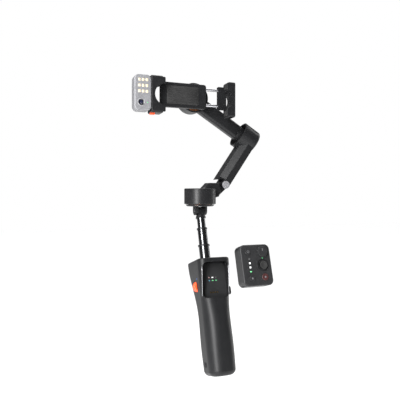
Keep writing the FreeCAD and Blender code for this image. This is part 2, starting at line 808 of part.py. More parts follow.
# across from the left edge and down from the top edge
WINDOW_XS = (5.5, 9.5, 13.6)
WINDOW_ZS = (5.6, 11.8, 17.9)
WINDOW_HALF_WIDE = 1.5
WINDOW_HALF_HIGH = 1.65
EYE = (7.7, 29.5)
LAMP = (14.4, 29.7)


def tracker():
    """The clip-on light: case, face plate, nine light windows and the lens."""
    outer = d.phoneShift - d.phoneWidth / 2 - d.leftJawThick - 0.3
    left = outer - d.trackerWidth
    front = -d.trackerDepth - 17.0
    seam = front + 1.8
    low_z = d.trackerLow
    high_z = low_z + d.trackerHeight

    case = rounded_box((left, seam, low_z), (outer, -17.0, high_z), 5.0, 1)
    case = rounded(case, 2.0, lambda edge: at_y(edge, -17.0))
    face = rounded_box((left, front, low_z), (outer, seam, high_z), 5.0, 1)
    face = rounded(face, 1.2, lambda edge: at_y(edge, front))

    windows = []
    window_ways = []
    for column in WINDOW_XS:
        for row in WINDOW_ZS:
            middle = (left + column, front, high_z - row)
            low = (middle[0] - WINDOW_HALF_WIDE, front + 0.1, middle[2] - WINDOW_HALF_HIGH)
            high = (middle[0] + WINDOW_HALF_WIDE, seam, middle[2] + WINDOW_HALF_HIGH)
            windows.append(rounded_box(low, high, 0.6, 1))
            way_low = (low[0], front - 1.0, low[2])
            window_ways.append(rounded_box(way_low, high, 0.6, 1))
    eye = (left + EYE[0], front, high_z - EYE[1])
    lamp = (left + LAMP[0], front, high_z - LAMP[1])
    windows.append(rod(0.6, 1.8, lamp, "y"))
    eye_way = rod(3.6, 10.0, (eye[0], front - 1.0, eye[2]), "y")
    lamp_way = rod(0.6, 10.0, (lamp[0], front - 1.0, lamp[2]), "y")
    node("tracker_face", CLAMP, cut(face, bundle(window_ways), eye_way, lamp_way))
    node("tracker_case", CLAMP, cut(case, rod(3.6, 6.0, (eye[0], seam - 1.0, eye[2]), "y")))
    node("tracker_lights", CLAMP, *windows)
    lens_front = (eye[0], front + 0.2, eye[2])
    barrel = rod(3.6, 6.6, lens_front, "y")
    node("tracker_lens", CLAMP, cut(barrel, cone(3.0, 2.2, 1.0, lens_front, "y")))


# -------------------------------------------------------------------- remote

REMOTE_BACK = -8.6
FACE_THICK = 3.6
# across from the left edge, down from the top edge, radius
REMOTE_BUTTONS = {
    "mode_button": (7.2, 6.4, 2.8),
    "switch_button": (8.4, 29.6, 2.8),
    "record_button": (21.0, 29.0, 3.1),
}
KNOB = (20.6, 6.8, 4.8)
STICK = (20.4, 18.6, 3.8)
REMOTE_LIGHT_X = 8.0
REMOTE_LIGHT_ZS = (12.6, 16.3, 20.0, 23.7)


def on_face(across, down):
    """A place on the remote's face, as x and z."""
    x = -d.remoteWidth / 2 + across
    z = d.dockBottom + d.fitGap + d.remoteHeight - down
    return x, z


def remote():
    """The remote's case and face, its buttons, knob, joystick and lights."""
    front = REMOTE_BACK - d.remoteDepth
    seam = front + FACE_THICK
    half = d.remoteWidth / 2
    low_z = d.dockBottom + d.fitGap
    high_z = low_z + d.remoteHeight

    case = rounded_box((-half, seam, low_z), (half, REMOTE_BACK, high_z), 4.6, 1)
    case = rounded(case, 1.0, lambda edge: at_y(edge, REMOTE_BACK))
    room_low = (-half + 2, seam, low_z + 2)
    room_high = (half - 2, REMOTE_BACK - 2.0, high_z - 2)
    room = rounded_box(room_low, room_high, 3.0, 1)
    case = cut(case, room)
    face = rounded_box((-half, front, low_z), (half, seam, high_z), 4.6, 1)
    face = rounded(face, 1.4, lambda edge: at_y(edge, front))

    ways = []
    for name, (across, down, radius) in REMOTE_BUTTONS.items():
        x, z = on_face(across, down)
        ways.append(rod(radius + 0.15, 20.0, (x, front - 5.0, z), "y"))
        ways.append(rod(radius + 0.7, 1.6, (x, seam - 1.6, z), "y"))
        cap = rounded(
            rod(radius, 2.9, (x, front - 0.5, z), "y"), 0.3, lambda edge: at_y(edge, front - 0.5)
        )
        flange = rod(radius + 0.5, 0.6, (x, front + 2.2, z), "y")
        node(name, REMOTE, fuse(cap, flange))

    x, z = on_face(*KNOB[:2])
    ways.append(rod(1.5 + d.runningGap, 20.0, (x, front - 5.0, z), "y"))
    knob = rounded(
        rod(KNOB[2], 2.2, (x, front - 2.4, z), "y"), 0.5, lambda edge: at_y(edge, front - 2.4)
    )
    notches = []
    for step in range(16):
        angle = math.radians(step * 22.5)
        centre_x = x + (KNOB[2] + 0.2) * math.cos(angle)
        centre_z = z + (KNOB[2] + 0.2) * math.sin(angle)
        notches.append(rod(0.5, 10.0, (centre_x, front - 6.0, centre_z), "y"))
    stem = rod(1.5, 4.0, (x, front - 1.0, z), "y")
    node("zoom_knob", REMOTE, fuse(cut(knob, bundle(notches)), stem))

    x, z = on_face(*STICK[:2])
    pivot_y = front + 2.6
    ways.append(rod(5.4, 6.2, (x, front - 5.0, z), "y"))
    ways.append(rod(3.2, 20.0, (x, front - 5.0, z), "y"))
    ways.append(rod(0.4 + d.runningGap, 7.6, (x, pivot_y, z - 3.8)))
    top = rounded(
        rod(STICK[2], 1.4, (x, front - 1.8, z), "y"), 0.5, lambda edge: at_y(edge, front - 1.8)
    )
    stem = rod(1.2, 4.6, (x, front - 1.0, z), "y")
    cross_pin = rod(0.4, 5.2, (x - 2.6, pivot_y, z), "x")
    node("joystick", REMOTE, fuse(top, stem, cross_pin))
    ring = fuse(rod(2.7, 1.4, (x, front + 1.9, z), "y"), rod(0.4, 7.2, (x, pivot_y, z - 3.6)))
    stem_way = rod(1.6, 20.0, (x, front - 5.0, z), "y")
    pin_way = rod(0.4 + d.runningGap, 20.0, (x - 10.0, pivot_y, z), "x")
    node("joystick_cradle", REMOTE, cut(ring, stem_way, pin_way))

    lights = []
    for down in REMOTE_LIGHT_ZS:
        x, z = on_face(REMOTE_LIGHT_X, down)
        low = (x - 0.9, front + 0.1, z - 0.7)
        high = (x + 0.9, front + 1.1, z + 0.7)
        lights.append(box(low, high))
        ways.append(box((low[0], front - 1.0, low[2]), high))
    node("remote_lights", REMOTE, *lights)
    node("remote_face", REMOTE, cut(face, *ways))
    node("remote_case", REMOTE, case)


handle_shells()
handle_fittings()
handle_controls()
telescopic_rod()
pan_base()
pan_arm()
fold_arm()
tilt_arm()
phone_clamp()
tracker()
remote()
doc.recompute()

# ------------------------------------------------------------ check and write

for thing in doc.Objects:
    if {"Invalid", "Error"} & set(thing.State):
        raise RuntimeError(f"{thing.Name} failed: {thing.State}")
for thing in made_nodes:
    if thing.Shape.isNull() or not thing.Shape.isValid():
        raise RuntimeError(f"{thing.Label} has no valid shape")
    solids = len(thing.Shape.Solids)
    print(f"{thing.Label:18} {thing.Shape.Volume:10.1f} mm3 {solids} solids")

os.makedirs("parts", exist_ok=True)
for thing in made_nodes:
    thing.Shape.exportStep(f"parts/{thing.Label}.step")
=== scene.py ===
import json
import math

import bmesh
import bpy
from mathutils import Matrix, Vector
from mathutils.bvhtree import BVHTree


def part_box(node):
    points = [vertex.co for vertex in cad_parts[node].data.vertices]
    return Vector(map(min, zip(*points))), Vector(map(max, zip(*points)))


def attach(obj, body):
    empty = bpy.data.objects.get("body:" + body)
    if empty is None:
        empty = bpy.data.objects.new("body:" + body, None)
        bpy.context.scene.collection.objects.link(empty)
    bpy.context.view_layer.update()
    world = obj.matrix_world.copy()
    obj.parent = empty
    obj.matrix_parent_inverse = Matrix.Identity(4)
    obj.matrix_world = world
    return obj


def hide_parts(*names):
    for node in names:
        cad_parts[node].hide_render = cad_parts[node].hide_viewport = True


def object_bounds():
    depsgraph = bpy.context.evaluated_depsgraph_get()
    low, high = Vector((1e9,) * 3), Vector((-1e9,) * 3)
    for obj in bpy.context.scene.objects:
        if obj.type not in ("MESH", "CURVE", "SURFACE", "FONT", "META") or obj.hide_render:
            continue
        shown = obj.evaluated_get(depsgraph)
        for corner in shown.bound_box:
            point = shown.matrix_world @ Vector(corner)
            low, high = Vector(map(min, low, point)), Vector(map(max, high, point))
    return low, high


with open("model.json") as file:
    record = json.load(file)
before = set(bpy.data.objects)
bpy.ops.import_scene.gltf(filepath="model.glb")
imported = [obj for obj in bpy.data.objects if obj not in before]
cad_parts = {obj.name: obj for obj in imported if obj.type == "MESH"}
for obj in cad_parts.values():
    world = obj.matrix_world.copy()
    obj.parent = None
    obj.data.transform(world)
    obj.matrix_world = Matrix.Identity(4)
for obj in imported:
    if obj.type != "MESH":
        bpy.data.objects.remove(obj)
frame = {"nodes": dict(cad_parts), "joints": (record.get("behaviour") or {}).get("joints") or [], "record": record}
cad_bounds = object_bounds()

MM = 0.001
JOINTS = {joint["name"]: joint for joint in frame["joints"]}
NODES = frame["nodes"]

# ------------------------------------------------------------- local frames


def turned_frame(x_axis, y_axis, z_axis):
    """A frame at the origin whose axes are three unit vectors of the row's frame."""
    return Matrix((x_axis, y_axis, z_axis)).transposed().to_4x4()


HANDLE_UP = Vector(JOINTS["outer_tube_slide"]["axis"])
DOCK_OUT = Vector(JOINTS["remote_pull"]["axis"])
HANDLE = turned_frame(Vector((1, 0, 0)), -DOCK_OUT, HANDLE_UP)
ROLL_CENTRE = Vector(JOINTS["roll_axis"]["pos_m"])
HEAD = Matrix.Translation(Vector(JOINTS["pan_axis"]["pos_m"]))
CLAMP = Matrix.Translation(ROLL_CENTRE)


def corners(points):
    """The lowest and highest corners of the box around some points."""
    low = Vector([min(point[i] for point in points) for i in range(3)])
    high = Vector([max(point[i] for point in points) for i in range(3)])
    return low, high


def local_box(name, place):
    """A node's lowest and highest corners along the axes of a local frame."""
    inverse = place.inverted()
    return corners([inverse @ vertex.co for vertex in NODES[name].data.vertices])


def loose_parts(name, place):
    """The low and high corners of each separate solid of a node, in a local frame."""
    mesh = NODES[name].data
    inverse = place.inverted()
    points = [inverse @ vertex.co for vertex in mesh.vertices]
    keys = [tuple(round(c * 1e6) for c in point) for point in points]
    leader = {key: key for key in keys}

    def lead(key):
        while leader[key] != key:
            leader[key] = leader[leader[key]]
            key = leader[key]
        return key

    for polygon in mesh.polygons:
        first = lead(keys[polygon.vertices[0]])
        for index in polygon.vertices[1:]:
            leader[lead(keys[index])] = first
    groups = {}
    for key, point in zip(keys, points):
        groups.setdefault(lead(key), []).append(point)
    return [corners(group) for group in groups.values()]


# ---------------------------------------------------------------- materials


def new_material(name):
    """A material, its node tree and its shader."""
    material = bpy.data.materials.new(name)
    material.use_nodes = True
    tree = material.node_tree
    return material, tree, tree.nodes["Principled BSDF"]


def noise(tree, scale, detail=3.0, stretch=(1, 1, 1)):
    """Noise in the object's own coordinates, in cycles per metre."""
    where = tree.nodes.new("ShaderNodeTexCoord")
    mapping = tree.nodes.new("ShaderNodeMapping")
    mapping.inputs["Scale"].default_value = stretch
    texture = tree.nodes.new("ShaderNodeTexNoise")
    texture.inputs["Scale"].default_value = scale
    texture.inputs["Detail"].default_value = detail
    tree.links.new(where.outputs["Object"], mapping.inputs["Vector"])
    tree.links.new(mapping.outputs["Vector"], texture.inputs["Vector"])
    return texture.outputs["Fac"]


def ranged(tree, value, low, high):
    """The value, spread between low and high."""
    node = tree.nodes.new("ShaderNodeMapRange")
    node.inputs["From Min"].default_value = 0.3
    node.inputs["From Max"].default_value = 0.7
    node.inputs["To Min"].default_value = low
    node.inputs["To Max"].default_value = high
    tree.links.new(value, node.inputs["Value"])
    return node.outputs["Result"]


def blended(tree, value, first, second):
    """Two colours mixed by the value."""
    node = tree.nodes.new("ShaderNodeMix")
    node.data_type = "RGBA"
    node.inputs["A"].default_value = (*first, 1)
    node.inputs["B"].default_value = (*second, 1)
    tree.links.new(value, node.inputs["Factor"])
    return node.outputs["Result"]


def bumped(tree, shader, height, depth):
    """Relief of a depth in metres on the shader's normal."""
    node = tree.nodes.new("ShaderNodeBump")
    node.inputs["Strength"].default_value = 1.0
    node.inputs["Distance"].default_value = depth
    tree.links.new(height, node.inputs["Height"])
    tree.links.new(node.outputs["Normal"], shader.inputs["Normal"])


def surface(name, dark, light, rough, grain, depth, metal=0.0, coat=0.0, stretch=(1, 1, 1),
            specular=0.5):
    """A moulded or machined surface: mottled colour, uneven gloss and a fine grain."""
    material, tree, shader = new_material(name)
    broad = noise(tree, 90.0, 4.0)
    fine = noise(tree, grain, 2.0, stretch)
    colour = blended(tree, ranged(tree, broad, 0.0, 1.0), dark, light)
    tree.links.new(colour, shader.inputs["Base Color"])
    gloss = ranged(tree, broad, rough[0], rough[1])
    tree.links.new(gloss, shader.inputs["Roughness"])
    shader.inputs["Metallic"].default_value = metal
    shader.inputs["Coat Weight"].default_value = coat
    shader.inputs["Coat Roughness"].default_value = 0.08
    shader.inputs["Specular IOR Level"].default_value = specular
    bumped(tree, shader, fine, depth)
    return material


def lamp(name, colour, strength, body=(0.8, 0.8, 0.8)):
    """A diffusing window with light behind it, its glow mottled a little."""
    material, tree, shader = new_material(name)
    mottle = ranged(tree, noise(tree, 1500.0), strength * 0.85, strength * 1.1)
    tree.links.new(mottle, shader.inputs["Emission Strength"])
    shader.inputs["Emission Color"].default_value = (*colour, 1)
    shader.inputs["Base Color"].default_value = (*body, 1)
    shader.inputs["Roughness"].default_value = 0.3
    return material


MATERIALS = {
    "grip_black": surface(
        "grip_black", (0.0085, 0.0087, 0.0094), (0.0100, 0.0102, 0.0109), (0.40, 0.43), 2600.0,
        0.000002, specular=0.20,
    ),
    "shell_black": surface(
        "shell_black", (0.0080, 0.0082, 0.0089), (0.0092, 0.0094, 0.0101), (0.35, 0.38), 2200.0,
        0.0000012, specular=0.24,
    ),
    "gloss_black": surface(
        "gloss_black", (0.0150, 0.0152, 0.0160), (0.0180, 0.0182, 0.0190), (0.42, 0.48), 1500.0,
        0.000002, specular=0.22,
    ),
    "rubber_black": surface(
        "rubber_black", (0.012, 0.012, 0.012), (0.018, 0.018, 0.018), (0.75, 0.85), 3000.0,
        0.00003, specular=0.3,
    ),
    "steel": surface(
        "steel", (0.42, 0.42, 0.44), (0.55, 0.55, 0.57), (0.22, 0.32), 900.0, 0.000001,
        metal=1.0,
    ),
    "dark_chrome": surface(
        "dark_chrome", (0.105, 0.107, 0.112), (0.120, 0.122, 0.127), (0.20, 0.23), 900.0,
        0.00000004, metal=1.0,
    ),
    "brass": surface(
        "brass", (0.45, 0.30, 0.11), (0.58, 0.41, 0.17), (0.25, 0.35), 1200.0, 0.000008,
        metal=1.0,
    ),
    "gold": surface(
        "gold", (0.30, 0.21, 0.08), (0.36, 0.25, 0.10), (0.25, 0.32), 1500.0, 0.000003,
        metal=1.0,
    ),
    "copper_core": surface(
        "copper_core", (0.16, 0.06, 0.02), (0.38, 0.15, 0.06), (0.3, 0.45), 1800.0, 0.00008,
        metal=0.7, stretch=(1, 1, 6),
    ),
    "board_green": surface(
        "board_green", (0.005, 0.05, 0.02), (0.01, 0.08, 0.03), (0.3, 0.4), 1200.0, 0.00002,
    ),
    "cell_blue": surface(
        "cell_blue", (0.02, 0.07, 0.2), (0.03, 0.09, 0.26), (0.3, 0.4), 900.0, 0.00001,
    ),
    "orange": surface(
        "orange", (0.72, 0.060, 0.010), (0.84, 0.085, 0.016), (0.34, 0.44), 2200.0, 0.000012,
    ),
    "silver_grey": surface(
        "silver_grey", (0.185, 0.185, 0.195), (0.205, 0.205, 0.215), (0.44, 0.50), 4200.0,
        0.000006, metal=0.3,
    ),
    "lens_dark": surface(
        "lens_dark", (0.004, 0.004, 0.006), (0.007, 0.007, 0.010), (0.05, 0.09), 900.0,
        0.000002, coat=1.0,
    ),
    "record_red": surface(
        "record_red", (0.034, 0.012, 0.012), (0.042, 0.014, 0.014), (0.30, 0.38), 1500.0,
        0.000006,
    ),
    "warm_light": lamp("warm_light", (1.0, 0.84, 0.60), 0.42, (0.34, 0.31, 0.25)),
    "lamp_clear": lamp("lamp_clear", (0.35, 0.9, 0.6), 0.5),
    "print_grey": surface(
        "print_grey", (0.10, 0.10, 0.105), (0.13, 0.13, 0.135), (0.4, 0.5), 1500.0, 0.000004,
    ),
    # near-black seam lines: painted shade standing in for the shadow inside the gaps between parts
    "seam_painted_shade": surface(
        "seam_painted_shade", (0.002, 0.002, 0.002), (0.003, 0.003, 0.003), (0.6, 0.7), 900.0, 0.000002,
        specular=0.2,
    ),
    # pale metal: real trim on the lens bezel, and a painted highlight on the dock's edges
    "trim_and_painted_highlight": surface(
        "trim_and_painted_highlight", (0.42, 0.42, 0.44), (0.50, 0.50, 0.52), (0.22, 0.3), 1500.0, 0.000004,
        metal=0.6,
    ),
    "glow_white": lamp("glow_white", (0.95, 0.98, 1.0), 0.30),
    "glow_dim": lamp("glow_dim", (0.8, 0.85, 0.9), 0.03, (0.05, 0.05, 0.05)),
    "glow_green": lamp("glow_green", (0.08, 0.90, 0.25), 0.32, (0.1, 0.3, 0.15)),
    "glow_teal": lamp("glow_teal", (0.05, 0.45, 0.55), 0.16, (0.05, 0.15, 0.2)),
    "glow_pink": lamp("glow_pink", (1.0, 0.45, 0.42), 0.16, (0.2, 0.12, 0.12)),
    "glow_blue": lamp("glow_blue", (0.12, 0.30, 1.0), 0.22, (0.05, 0.1, 0.3)),
    "warm_core": lamp("warm_core", (1.0, 0.80, 0.44), 0.70, (0.3, 0.26, 0.18)),
    "lens_coated": surface(
        "lens_coated", (0.010, 0.012, 0.030), (0.016, 0.016, 0.045), (0.03, 0.05), 900.0,
        0.000001, coat=1.0, specular=0.8,
    ),
    "backdrop": surface(
        "backdrop", (0.93, 0.93, 0.93), (0.95, 0.95, 0.95), (0.85, 0.9), 60.0, 0.0001,
        specular=0.1,
    ),
}

for entry in frame["record"]["subparts"]:
    node = NODES[entry["node"]]
    node.data.materials.clear()
    node.data.materials.append(MATERIALS[entry["material_slot"]])

# ------------------------------------------------------- softened CAD edges


def soften(name, width):
    """Round a node's sharp edges a little, so that they catch the light."""
    bevel = NODES[name].modifiers.new("soft_edges", "BEVEL")
    bevel.width = width * MM
    bevel.segments = 2
    bevel.limit_method = "ANGLE"
    bevel.angle_limit = math.radians(35)
    bevel.harden_normals = True


# ------------------------------------------------------------- piece makers


def finish_piece(name, mesh, place, body, slot, material=None):
    """Put a mesh in its frame, give it its finish and let it ride on its body."""
    mesh.transform(place)
    piece = bpy.data.objects.new(name, mesh)
    bpy.context.scene.collection.objects.link(piece)
    mesh.materials.append(MATERIALS[material or slot])
    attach(piece, body)
    return piece


def smooth_mesh(name, form, angle=40.0):
    """A mesh of a bmesh, smooth but for its sharp edges."""
    mesh = bpy.data.meshes.new(name)
    bmesh.ops.recalc_face_normals(form, faces=form.faces)
    form.to_mesh(mesh)
    form.free()
    mesh.shade_smooth()
    mesh.set_sharp_from_angle(angle=math.radians(angle))
    return mesh


def circle(form, radius, height, steps):
    """A circle of vertices about +z, in millimetres."""
    ring = []
    for step in range(steps):
        angle = 2 * math.pi * step / steps
        spot = (radius * math.cos(angle), radius * math.sin(angle), height)
        ring.append(form.verts.new([c * MM for c in spot]))
    return ring


def lathe_mesh(name, profile, steps=72):
    """A solid of revolution about +z of points (radius, height), closed at the axis."""
    form = bmesh.new()
    rings = []
    for radius, height in profile:
        if radius <= 1e-9:
            rings.append([form.verts.new((0, 0, height * MM))])
            continue
        rings.append(circle(form, radius, height, steps))
    for lower, upper in zip(rings, rings[1:]):
        for step in range(steps):
            after = (step + 1) % steps
            if len(lower) == 1:
                form.faces.new((lower[0], upper[step], upper[after]))
            elif len(upper) == 1:
                form.faces.new((lower[step], upper[0], lower[after]))
            else:
                form.faces.new((lower[step], upper[step], upper[after], lower[after]))
    return smooth_mesh(name, form)


def ring_profile(radius, thick, low, high):
    """The closed profile of a flat ring with softened rims."""
    soft = min(thick, high - low) * 0.3
    inner = radius - thick
    return [
        (inner, low), (radius - soft, low), (radius, low + soft), (radius, high - soft),
        (radius - soft, high), (inner + soft, high), (inner, high - soft), (inner, low),
    ]


def closed_lathe(name, profile, steps=72):
    """A ring about +z whose profile ends where it starts."""
    form = bmesh.new()
    rings = []
    for radius, height in profile[:-1]:
        rings.append(circle(form, radius, height, steps))
    for index, ring in enumerate(rings):
        following = rings[(index + 1) % len(rings)]
        for step in range(steps):
            after = (step + 1) % steps
            form.faces.new((ring[step], following[step], following[after], ring[after]))
    return smooth_mesh(name, form)


def tile_mesh(name, width, height, depth, corner, crown=0.0, steps=6):
    """A rounded tile in the x-z plane with a softened front rim, its front towards -y."""
    form = bmesh.new()
    levels = [(0.0, 0.0), (depth - corner * 0.35, 0.0), (depth, corner * 0.35)]
    loops = []
    for level, inset in levels:
        loop = []
        half_w = width / 2 - inset
        half_h = height / 2 - inset
        bend = max(corner - inset, corner * 0.3)
        for quarter in range(4):
            centre_x = (half_w - bend) * (1 if quarter in (0, 3) else -1)
            centre_z = (half_h - bend) * (1 if quarter in (0, 1) else -1)
            for step in range(steps + 1):
                angle = math.pi / 2 * (quarter + step / steps)
                x = centre_x + bend * math.cos(angle)
                z = centre_z + bend * math.sin(angle)
                loop.append(form.verts.new((x * MM, -level * MM, z * MM)))
        loops.append(loop)
    count = len(loops[0])
    for lower, upper in zip(loops, loops[1:]):
        for i in range(count):
            j = (i + 1) % count
            form.faces.new((lower[i], lower[j], upper[j], upper[i]))
    form.faces.new(list(reversed(loops[0])))
    middle = form.verts.new((0, -(depth + crown) * MM, 0))
    for i in range(count):
        form.faces.new((loops[-1][i], loops[-1][(i + 1) % count], middle))
    return smooth_mesh(name, form, 50.0)


def wire_piece(name, points, radius, body, slot, material, closed=False):
    """A round wire of mesh along points given in metres."""
    curve = bpy.data.curves.new(name, "CURVE")
    curve.dimensions = "3D"
    curve.bevel_depth = radius * MM
    curve.bevel_resolution = 3
    curve.use_fill_caps = True
    spline = curve.splines.new("POLY")
    spline.points.add(len(points) - 1)
    for target, point in zip(spline.points, points):
        target.co = (*point, 1)
    spline.use_cyclic_u = closed
    helper = bpy.data.objects.new(name + "_path", curve)
    bpy.context.scene.collection.objects.link(helper)
    bpy.context.view_layer.update()
    mesh = bpy.data.meshes.new_from_object(helper)
    bpy.data.objects.remove(helper)
    bpy.data.curves.remove(curve)
    mesh.name = name
    mesh.shade_smooth()
    return finish_piece(name, mesh, Matrix.Identity(4), body, slot, material)


# along +y, -y and -x, for lathed pieces that are made about +z
LATHE_BACK = Matrix.Rotation(math.radians(-90), 4, "X")
LATHE_FRONT = Matrix.Rotation(math.radians(90), 4, "X")
LATHE_LEFT = Matrix.Rotation(math.radians(-90), 4, "Y")


def at(place, x, y, z):
    """A frame moved by metres along its own axes."""
    return place @ Matrix.Translation(Vector((x, y, z)))


# ------------------------------------------------------------------- handle


DOCK_GLOW = ("glow_teal", "glow_green", "glow_green", "glow_pink", "glow_white", "glow_dim")


def indicator_pieces():
    """The dock's six lights and the side lamp, in place of the plain CAD ones."""
    parts = sorted(loose_parts("indicator_lights", HANDLE), key=lambda part: part[0].x)
    lamp_low, lamp_high = parts[0]
    dock = sorted(parts[1:], key=lambda part: (round(part[0].z, 4), part[0].x))
    for i, ((low, high), colour) in enumerate(zip(dock, DOCK_GLOW)):
        name = f"dock_light_{i + 1}"
        width = 2.0 if i % 3 == 1 else 1.5
        mesh = tile_mesh(name, width, 0.95, 0.55, 0.3)
        middle = (low + high) / 2
        place = at(HANDLE, middle.x, low.y + 0.5 * MM, middle.z)
        piece = finish_piece(name, mesh, place, "handle", "lamp_clear", colour)
        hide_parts("indicator_lights")
    length = (lamp_high.x - lamp_low.x) / MM
    profile = [(0, 0), (0.8, 0), (0.8, length - 0.4), (0.55, length - 0.1), (0, length)]
    middle = (lamp_low + lamp_high) / 2
    place = at(HANDLE, lamp_high.x, middle.y, middle.z) @ LATHE_LEFT
    piece = finish_piece(
        "side_lamp", lathe_mesh("side_lamp", profile, 32), place, "handle", "lamp_clear",
        "glow_blue",
    )
    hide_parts("indicator_lights")


def shell_tree():
    """The front shell's surface in the handle's frame."""
    mesh = NODES["front_shell"].data
    inverse = HANDLE.inverted()
    vertices = [inverse @ vertex.co for vertex in mesh.vertices]
    faces = [tuple(polygon.vertices) for polygon in mesh.polygons]
    return BVHTree.FromPolygons(vertices, faces)


def dock_edge_highlight():
    """A thin bright wire along each side of the dock, a painted highlight for the light caught by the dock's edge.
    """
    tree = shell_tree()
    low, high = local_box("dock_panel", HANDLE)
    for side, radius in ((-1, 0.20), (1, 0.36)):
        edge_x = (high.x if side > 0 else low.x) + side * 0.30 * MM
        points = []
        steps = 40
        for step in range(steps + 1):
            z = low.z + (high.z - low.z) * (0.08 + 0.80 * step / steps)
            hit, _, _, _ = tree.ray_cast(Vector((edge_x, -0.05, z)), Vector((0, 1, 0)))
            if hit is not None:
                points.append(HANDLE @ (hit + Vector((0, 0.05 * MM, 0))))
        # bright wires of painted highlight along the dock's edges
        name = "dock_edge_highlight_right" if side > 0 else "dock_edge_highlight_left"
        wire_piece(name, points, radius, "handle", "steel", "trim_and_painted_highlight")


def cap_seam_shade():
    """A dark line where the bottom cap meets the shells: painted shade for the shadow in the gap between them."""
    mesh = NODES["bottom_cap"].data
    inverse = HANDLE.inverted()
    spots = [inverse @ vertex.co for vertex in mesh.vertices]
    top = max(spot.z for spot in spots)
    rim = [spot for spot in spots if spot.z > top - 0.05 * MM and spot.xy.length > 8 * MM]
    rim.sort(key=lambda spot: math.atan2(spot.y, spot.x))
    kept = []
    for spot in rim:
        if not kept or (spot - kept[-1]).length > 0.6 * MM:
            kept.append(spot)
    # a near-black wire, painted shade where the seam's gap would be shadowed
    wire_piece("cap_seam_shade", [HANDLE @ spot for spot in kept], 0.16, "handle", "shell_black",
               "seam_painted_shade", closed=True)


# --------------------------------------------------------------------- head


# millimetres, about the pan axis
# the pan seam ring is painted shade: a near-black ring for the shadow in the drum's groove
PAN_SEAM_SHADE_RADIUS = 18.06
PAN_SEAM_SHADE_HEIGHTS = (4.3, 4.7)
FOLD_TRIM = [(0, -0.1), (2.6, -0.1), (2.6, 0.12), (2.3, 0.2), (1.5, 0.2), (1.3, 0.02), (0, 0.02)]


def head_details():
    """A near-black ring of painted shade for the groove on the pan drum, and the trim on the fold pin's two heads.
    """
    # a near-black ring, painted shade standing in for the groove's shadow
    ring = closed_lathe("pan_seam_shade", ring_profile(PAN_SEAM_SHADE_RADIUS, 0.3, *PAN_SEAM_SHADE_HEIGHTS), 96)
    finish_piece("pan_seam_shade", ring, HEAD, "pan_arm", "shell_black", "seam_painted_shade")
    pin_low, pin_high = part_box("fold_pin")
    centre = (Vector(pin_low) + Vector(pin_high)) / 2
    for name, y, turn in (
        ("fold_trim_front", pin_low[1], LATHE_FRONT),
        ("fold_trim_back", pin_high[1], LATHE_BACK),
    ):
        place = Matrix.Translation(Vector((centre.x, y, centre.z))) @ turn
        finish_piece(name, lathe_mesh(name, FOLD_TRIM, 48), place, "fold_arm", "silver_grey")


# -------------------------------------------------------------------- clamp


# ribs across the clamp's face, and in each of a jaw pad's two groups; millimetres
CLAMP_RIBS = 7
CLAMP_RIB_STEP = 2.7
PAD_RIBS = 4
PAD_RIB_START = 0.9
PAD_RIB_STEP = 1.4
PAD_HEIGHT = 6.0


def clamp_details():
    """The ribbed rubber face of the clamp body."""
    low, high = local_box("clamp_body", CLAMP)
    middle = (low + high) / 2
    width = (high.x - low.x) / MM
    height = (high.z - low.z) / MM
    pad = tile_mesh("clamp_face_pad", width - 16.0, height - 7.0, 0.5, 2.0)
    centre_x = middle.x - 1.0 * MM
    place = at(CLAMP, centre_x, low.y, middle.z)
    finish_piece("clamp_face_pad", pad, place, "clamp", "rubber_black")
    for i in range(CLAMP_RIBS):
        name = f"clamp_rib_{i + 1}"
        rib = tile_mesh(name, width - 20.0, 1.1, 0.35, 0.5)
        offset = (i - CLAMP_RIBS // 2) * CLAMP_RIB_STEP * MM
        place = at(CLAMP, centre_x, low.y - 0.45 * MM, middle.z + offset)
        finish_piece(name, rib, place, "clamp", "rubber_black")


def pad_ribs():
    """Fine ribs on the four jaw pads."""
    for name, body, side in (("left_jaw_pads", "clamp", 1), ("right_jaw_pads", "sliding_jaw", -1)):
        low, high = local_box(name, CLAMP)
        face_x = high.x if side > 0 else low.x
        turn = Matrix.Rotation(math.radians(90 * side), 4, "Z")
        width = (high.y - low.y) / MM - 0.6
        for group, start in enumerate((low.z, high.z - PAD_HEIGHT * MM)):
            for i in range(PAD_RIBS):
                rib_name = f"{name}_rib_{group * PAD_RIBS + i + 1}"
                rib = tile_mesh(rib_name, width, 0.7, 0.12, 0.3)
                z = start + (PAD_RIB_START + PAD_RIB_STEP * i) * MM
                place = at(CLAMP, face_x, (low.y + high.y) / 2, z) @ turn
                finish_piece(rib_name, rib, place, body, "rubber_black")


# ------------------------------------------------------------------ tracker


# radius and height above the tracker's face
LENS_BARREL = [
    (0, -3.2), (3.45, -3.2), (3.45, -0.05), (3.1, 0.05), (2.7, -0.25), (2.2, -0.3), (2.0, -0.9),
    (1.4, -1.0), (1.2, -1.6), (0, -1.6),
]
LENS_GLASS = [(0, -1.3), (1.9, -1.3), (1.9, -0.75), (1.4, -0.55), (0.8, -0.42), (0, -0.36)]


